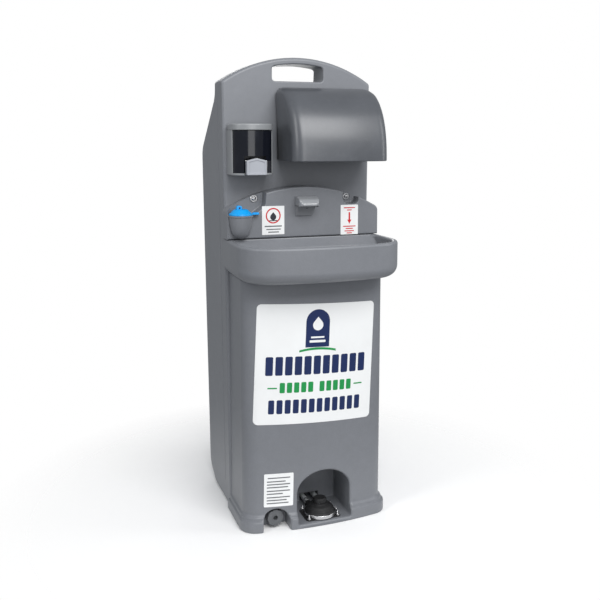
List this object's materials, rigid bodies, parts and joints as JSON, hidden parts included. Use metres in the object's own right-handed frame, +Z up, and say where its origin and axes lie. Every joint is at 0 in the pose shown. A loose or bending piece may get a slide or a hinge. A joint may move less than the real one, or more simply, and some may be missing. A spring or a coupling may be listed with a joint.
{
  "type": "portable handwash sink",
  "caption": "Self-contained portable handwash sink with back-panel water tank, front waste tank, bowl, foot pump, towel and soap dispensers.",
  "frame": {"origin": "on the floor, under the middle of the sink's bounding box", "axes": "+Z up, +X to the right of a person at the bowl's front, +Y from the bowl to the tank's back"},
  "size_m": [0.492, 0.59, 1.405],
  "materials": {
    "tank_grey": "satin, finely grained rotomoulded polyethylene",
    "plug_grey": "satin moulded",
    "cover_grey": "glossy moulded",
    "dark_plastic": "satin moulded",
    "soap_grey": "satin moulded",
    "lever_grey": "satin moulded",
    "smoked": "glossy smoked translucent",
    "white_plastic": "satin",
    "fitting_grey": "satin",
    "cap_blue": "satin gloss moulded",
    "black_rubber": "matte moulded rubber",
    "seal_rubber": "matte rubber",
    "black_plastic": "satin",
    "stainless": "brushed",
    "hose_clear": "soft clear hose",
    "label_white": "printed vinyl",
    "towel_paper": "embossed",
    "core_board": "plain board"
  },
  "bodies": {
    "root": {"fresh_tank": "tank_grey", "waste_tank": "tank_grey", "bowl": "tank_grey", "backsplash": "tank_grey", "splash_screws": "stainless", "splash_washers": "stainless", "bowl_strainer": "stainless", "tailpiece": "fitting_grey", "tailpiece_nut": "fitting_grey", "tailpiece_gasket": "seal_rubber", "faucet_spout": "tank_grey", "faucet_gasket": "seal_rubber", "faucet_nut": "fitting_grey", "fill_tube": "black_rubber", "front_label": "label_white", "splash_label": "label_white", "towel_label": "label_white", "service_label": "label_white", "pump_base": "black_plastic", "pump_bellows": "black_rubber", "clamp_ring": "stainless", "clamp_screw": "stainless", "pump_spring": "stainless", "pump_valves": "seal_rubber", "pump_studs": "stainless", "pump_nuts": "stainless", "suction_hose": "hose_clear", "delivery_hose": "hose_clear", "hose_clamps": "stainless", "tank_outlet": "fitting_grey", "outlet_nut": "fitting_grey", "drain_bushing": "dark_plastic", "towel_back": "dark_plastic", "cover_pins": "stainless", "roll_arms": "dark_plastic", "tear_bar": "stainless", "towel_screws": "stainless", "soap_back": "soap_grey", "soap_tank": "smoked", "lid_pin": "stainless", "lever_pin": "stainless", "soap_valve": "fitting_grey", "piston_spring": "stainless", "soap_screws": "stainless"},
    "towel_cover": {"towel_cover": "cover_grey"},
    "lock": {"cover_lock": "stainless"},
    "roll": {"towel_roll": "towel_paper", "roll_core": "core_board"},
    "feed_roller": {"feed_roller": "black_rubber"},
    "pinch_roller": {"pinch_roller": "fitting_grey"},
    "soap_lid": {"soap_lid": "soap_grey"},
    "soap_lever": {"soap_lever": "lever_grey"},
    "soap_piston": {"soap_piston": "white_plastic"},
    "fill_cap": {"fill_cap": "cap_blue", "cap_gasket": "seal_rubber"},
    "pump_button": {"pump_button": "black_rubber"},
    "plug_seal": {"plug_gasket": "seal_rubber"},
    "drain_plug": {"drain_plug": "plug_grey", "plug_thread": "plug_grey"}
  },
  "joints": [
    {"name": "cover_lift", "type": "hinge", "parent": "root", "child": "towel_cover", "pos_m": [0.076, -0.018, 1.304], "axis": [-1, 0, 0], "range_deg": [0, 80]},
    {"name": "lock_turn", "type": "hinge", "parent": "towel_cover", "child": "lock", "pos_m": [0.226, -0.066, 1.14], "axis": [1, 0, 0], "range_deg": [0, 90]},
    {"name": "roll_spin", "type": "hinge", "parent": "root", "child": "roll", "pos_m": [0.076, -0.086, 1.196], "axis": [1, 0, 0], "continuous": true},
    {"name": "feed_spin", "type": "hinge", "parent": "root", "child": "feed_roller", "pos_m": [0.076, -0.06, 1.118], "axis": [1, 0, 0], "continuous": true},
    {"name": "pinch_spin", "type": "hinge", "parent": "root", "child": "pinch_roller", "pos_m": [0.076, -0.0793, 1.118], "axis": [1, 0, 0], "continuous": true},
    {"name": "soap_lid_lift", "type": "hinge", "parent": "root", "child": "soap_lid", "pos_m": [-0.164, -0.0125, 1.193], "axis": [-1, 0, 0], "range_deg": [0, 85]},
    {"name": "lever_push", "type": "hinge", "parent": "root", "child": "soap_lever", "pos_m": [-0.164, -0.101, 1.096], "axis": [1, 0, 0], "range_deg": [0, 12], "stiffness_Nm_per_rad": 0.8, "springref_deg": -6.88},
    {"name": "piston_stroke", "type": "slide", "parent": "root", "child": "soap_piston", "axis": [0, 1, 0], "range_m": [0, 0.0052], "deforming": ["piston_spring"]},
    {"name": "cap_lift", "type": "slide", "parent": "root", "child": "fill_cap", "axis": [0, 0, 1], "range_m": [0, 0.06]},
    {"name": "pump_press", "type": "slide", "parent": "root", "child": "pump_button", "axis": [0, 0, -1], "range_m": [0, 0.022], "stiffness_N_per_m": 900, "springref_m": -0.015, "deforming": ["pump_bellows", "pump_spring"]},
    {"name": "plug_out", "type": "slide", "parent": "root", "child": "plug_seal", "axis": [0, -1, 0], "range_m": [0, 0.029]},
    {"name": "plug_turn", "type": "hinge", "parent": "plug_seal", "child": "drain_plug", "pos_m": [-0.131, -0.16, 0.033], "axis": [0, -1, 0], "range_deg": [0, 2520]}
  ],
  "couplings": [
    {"joint": "feed_spin", "follows": "roll_spin", "ratio": 5.8182},
    {"joint": "pinch_spin", "follows": "roll_spin", "ratio": -8},
    {"joint": "piston_stroke", "follows": "lever_push", "m_per_rad": 0.02364},
    {"joint": "plug_out", "follows": "plug_turn", "m_per_rad": 0.00063662}
  ]
}
